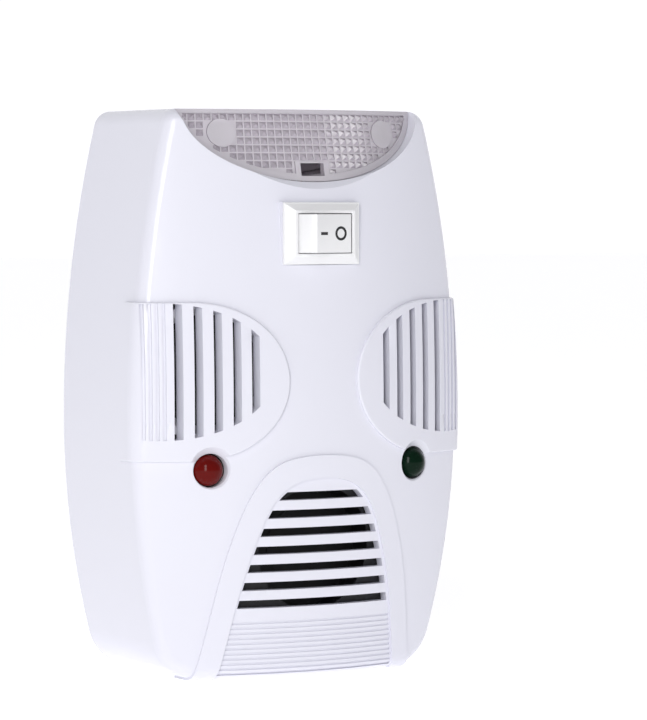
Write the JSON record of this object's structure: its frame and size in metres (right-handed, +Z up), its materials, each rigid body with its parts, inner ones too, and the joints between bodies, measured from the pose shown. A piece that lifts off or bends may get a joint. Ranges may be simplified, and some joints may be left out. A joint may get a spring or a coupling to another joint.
{
  "type": "ultrasonic pest repeller",
  "caption": "Plug-in ultrasonic pest repeller: bowed wall housing with side and front sounder grilles, indicator lamps, a rocker switch and a prismatic night-light window",
  "frame": {"origin": "on the wall plane, midway between the two plug pins", "axes": "+X to the right seen from the front, +Y into the wall along the pins, +Z up; the front faces -Y"},
  "size_m": [0.0924, 0.0734, 0.138],
  "materials": {
    "shell_white": "glossy white ABS",
    "cover_white": "fine-textured white ABS",
    "lens_clear": "clear prismatic plastic",
    "tray_white": "white reflector",
    "switch_white": "warm white nylon",
    "frame_white": "white sounder frame",
    "frame_black": "black sounder frame",
    "disc_brass": "brass disc",
    "red_dome": "red tinted epoxy",
    "green_dome": "green tinted epoxy",
    "clear_dome": "clear epoxy",
    "steel": "plated steel",
    "nickel": "nickel plate",
    "brass": "brass strip",
    "sleeve_black": "moulded sleeve",
    "board_green": "fibreglass board with solder mask",
    "part_black": "moulded case",
    "part_red": "dipped film capacitor",
    "part_blue": "capacitor sleeve",
    "part_glass": "glass tube",
    "part_tan": "resistor lacquer",
    "ferrite": "ferrite core",
    "wire_grey": "wire insulation"
  },
  "bodies": {
    "housing": {"front_shell": "shell_white", "back_cover": "cover_white", "housing_screws": "steel", "night_light_lens": "lens_clear", "lens_screws": "steel", "lamp_tray": "tray_white", "lamp_board": "tray_white", "lamp_leds": "clear_dome", "switch_body": "switch_white", "switch_terminals": "brass", "left_sounder_frame": "frame_white", "right_sounder_frame": "frame_white", "front_sounder_frame": "frame_black", "left_piezo_disc": "disc_brass", "right_piezo_disc": "disc_brass", "front_piezo_disc": "disc_brass", "red_led": "red_dome", "green_led": "green_dome", "led_legs": "steel", "main_board": "board_green", "board_screws": "steel", "pin_contacts": "brass", "plug_pin_left": "nickel", "plug_pin_right": "nickel", "pin_sleeves": "sleeve_black", "fuse": "part_glass", "dropper_capacitor": "part_red", "smoothing_capacitors": "part_blue", "rectifier_diodes": "part_black", "driver_chip": "part_black", "transistors": "part_black", "resistors": "part_tan", "drive_coils": "ferrite", "switch_wires": "wire_grey", "lamp_wires": "wire_grey", "left_sounder_wires": "wire_grey", "right_sounder_wires": "wire_grey", "front_sounder_wires": "wire_grey"},
    "rocker": {"switch_rocker": "switch_white", "switch_plunger": "switch_white", "switch_spring": "steel"},
    "contact": {"switch_contact": "brass"}
  },
  "joints": [
    {"name": "switch_rocker_hinge", "type": "hinge", "parent": "housing", "child": "rocker", "pos_m": [0, -0.0477, 0.036], "axis": [0, 0, -1], "range_deg": [0, 30]},
    {"name": "switch_contact_hinge", "type": "hinge", "parent": "housing", "child": "contact", "pos_m": [0, -0.0425, 0.036], "axis": [0, 0, 1], "range_deg": [0, 16]}
  ],
  "couplings": [
    {"joint": "switch_contact_hinge", "follows": "switch_rocker_hinge", "ratio": 0.53333}
  ]
}
